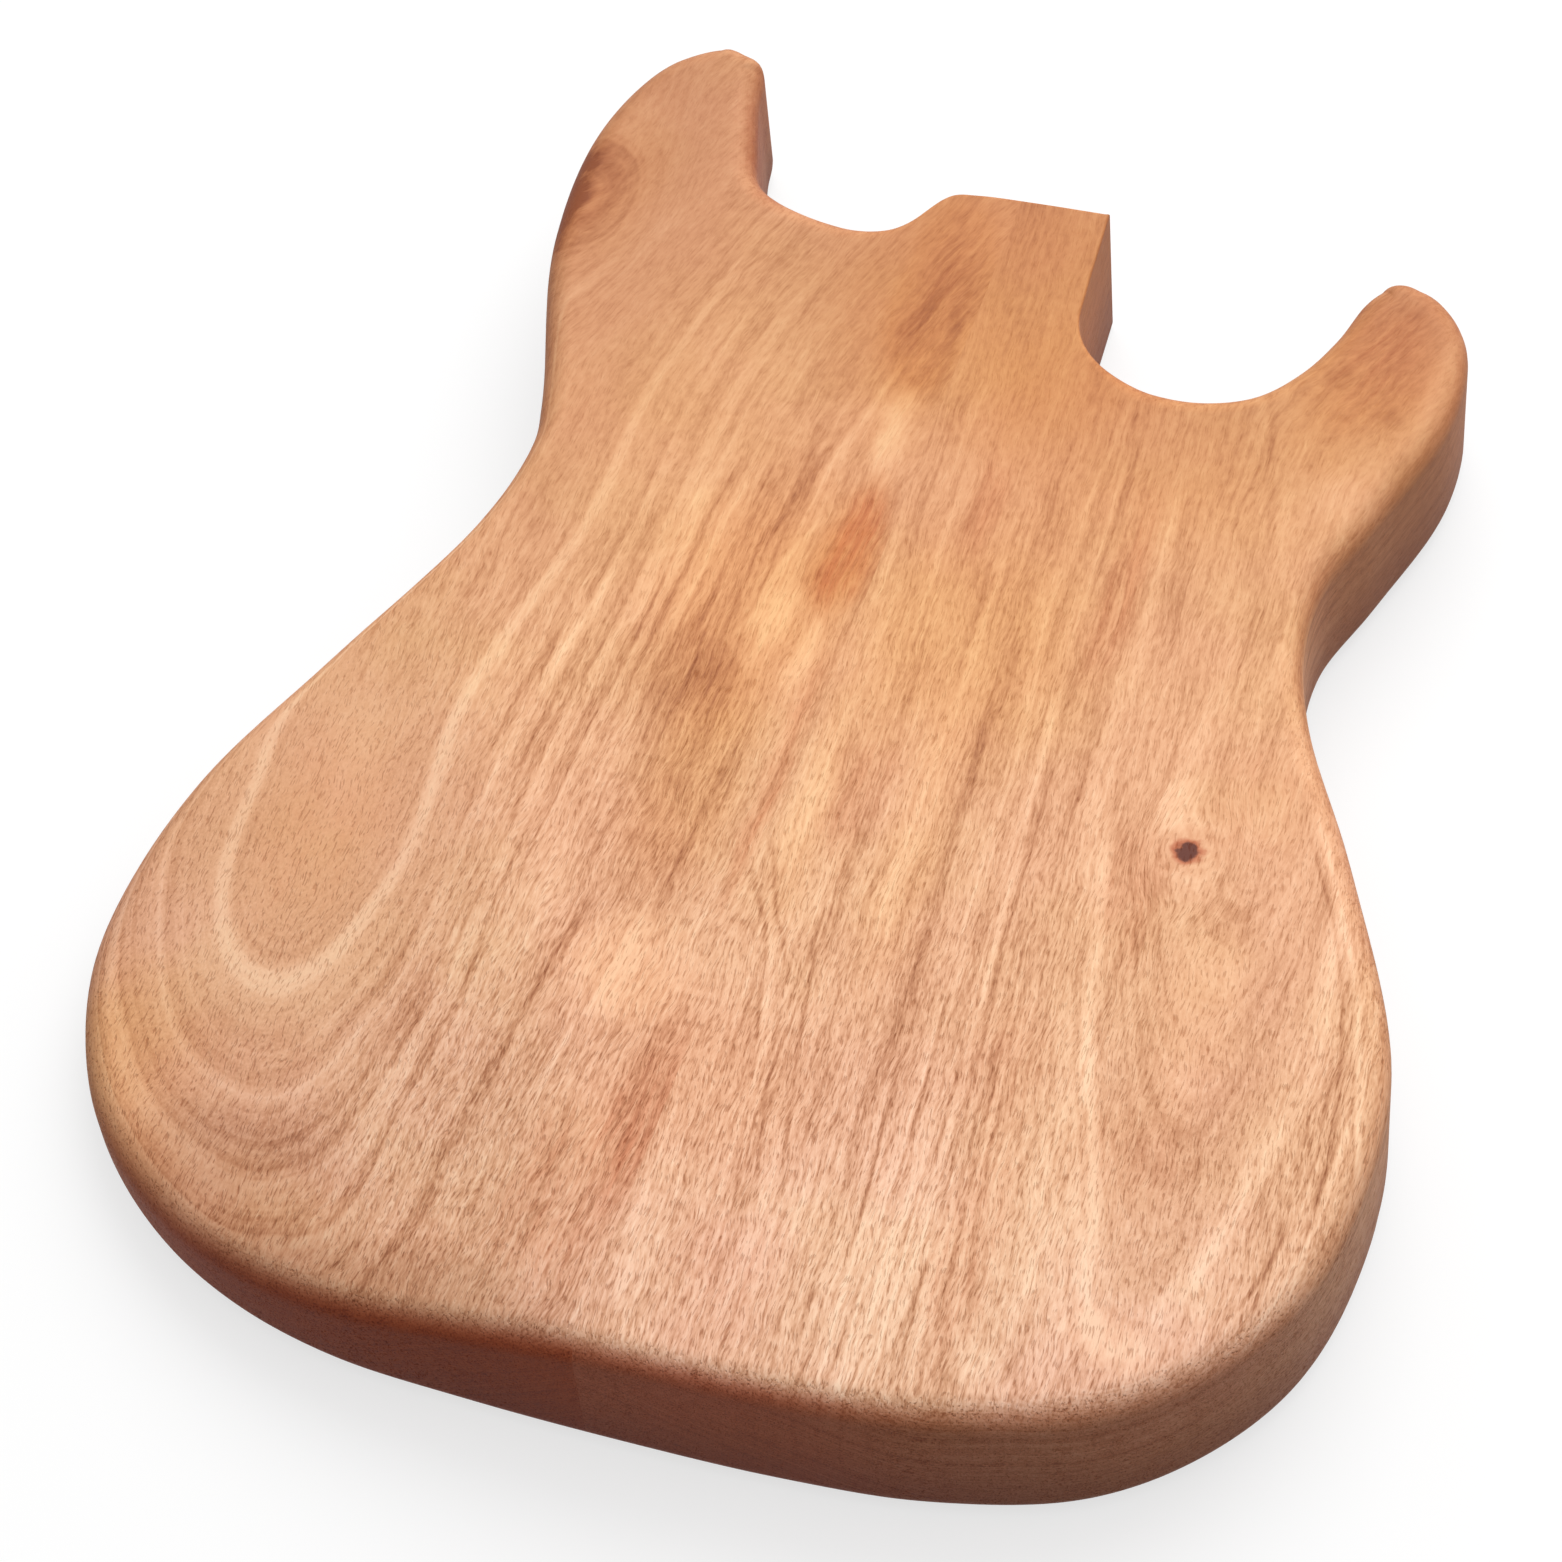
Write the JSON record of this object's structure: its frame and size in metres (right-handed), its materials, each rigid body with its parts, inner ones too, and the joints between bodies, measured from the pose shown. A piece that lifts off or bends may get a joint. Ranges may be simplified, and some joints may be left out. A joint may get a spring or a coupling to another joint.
{
  "type": "electric guitar body",
  "caption": "Bare solid double-cutaway electric guitar body, edge-glued from boards, with rounded edges, a forearm contour and a square neck heel.",
  "frame": {"origin": "centre of the body's outline box, on the back face", "axes": "+Z out of the front face, +Y from the tail towards the neck, +X towards the treble side; the neck's centreline lies at x = 0.0026 m"},
  "size_m": [0.3252, 0.4068, 0.045],
  "materials": {
    "bass_wood": "sanded bare mahogany-like wood, matt, pinkish brown",
    "treble_wood": "sanded bare mahogany-like wood, matt, orange brown"
  },
  "bodies": {
    "root": {"bass_board": "bass_wood", "treble_board": "treble_wood"}
  },
  "joints": []
}
